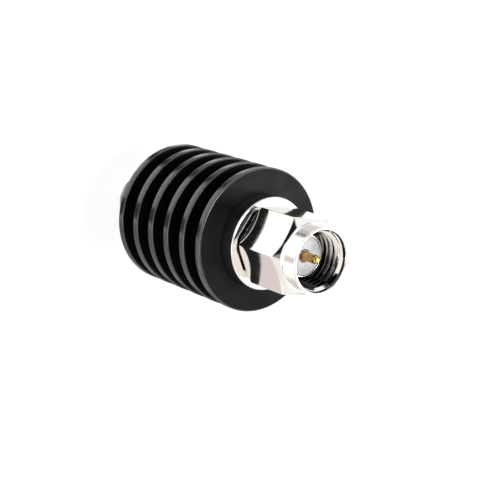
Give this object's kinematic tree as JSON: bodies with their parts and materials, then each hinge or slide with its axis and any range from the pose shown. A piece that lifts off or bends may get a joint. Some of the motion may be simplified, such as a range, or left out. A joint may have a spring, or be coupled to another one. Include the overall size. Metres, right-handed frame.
{
  "type": "coaxial attenuator",
  "caption": "Fixed coaxial attenuator: a finned black heat sink with a screw-on plug at one end and a threaded jack at the other.",
  "frame": {"origin": "centre of the jack's end face, which the part stands on", "axes": "+Z along the common axis towards the plug, +X through a corner of the coupling nut's hexagon"},
  "size_m": [0.0156, 0.0156, 0.0328],
  "materials": {
    "black_anodised": "satin black anodised",
    "bright_nickel": "bright nickel plate on brass",
    "spring_bronze": "bare spring bronze",
    "white_insulator": "white fluoropolymer",
    "gold_plate": "gold plate on copper alloy",
    "tan_bead": "hard tan plastic",
    "white_ceramic": "white alumina"
  },
  "bodies": {
    "attenuator_body": {"heat_sink": "black_anodised", "barrel": "bright_nickel", "plug_body": "bright_nickel", "jack_body": "bright_nickel", "plug_dielectric": "white_insulator", "jack_dielectric": "white_insulator", "plug_pin": "gold_plate", "jack_socket": "gold_plate", "plug_bead": "tan_bead", "jack_bead": "tan_bead", "plug_retainer": "bright_nickel", "jack_retainer": "bright_nickel", "attenuator_chip": "white_ceramic", "chip_carrier_upper": "bright_nickel", "chip_carrier_lower": "bright_nickel", "plug_contact_tab": "gold_plate", "jack_contact_tab": "gold_plate"},
    "snap_ring": {"nut_snap_ring": "spring_bronze"},
    "nut": {"coupling_nut": "bright_nickel"}
  },
  "joints": [
    {"name": "nut_end_play", "type": "slide", "parent": "attenuator_body", "child": "snap_ring", "axis": [0, 0, 1], "range_m": [0, 0.0002]},
    {"name": "nut_spin", "type": "hinge", "parent": "snap_ring", "child": "nut", "pos_m": [0, 0, 0.0259], "axis": [0, 0, 1], "continuous": true}
  ]
}
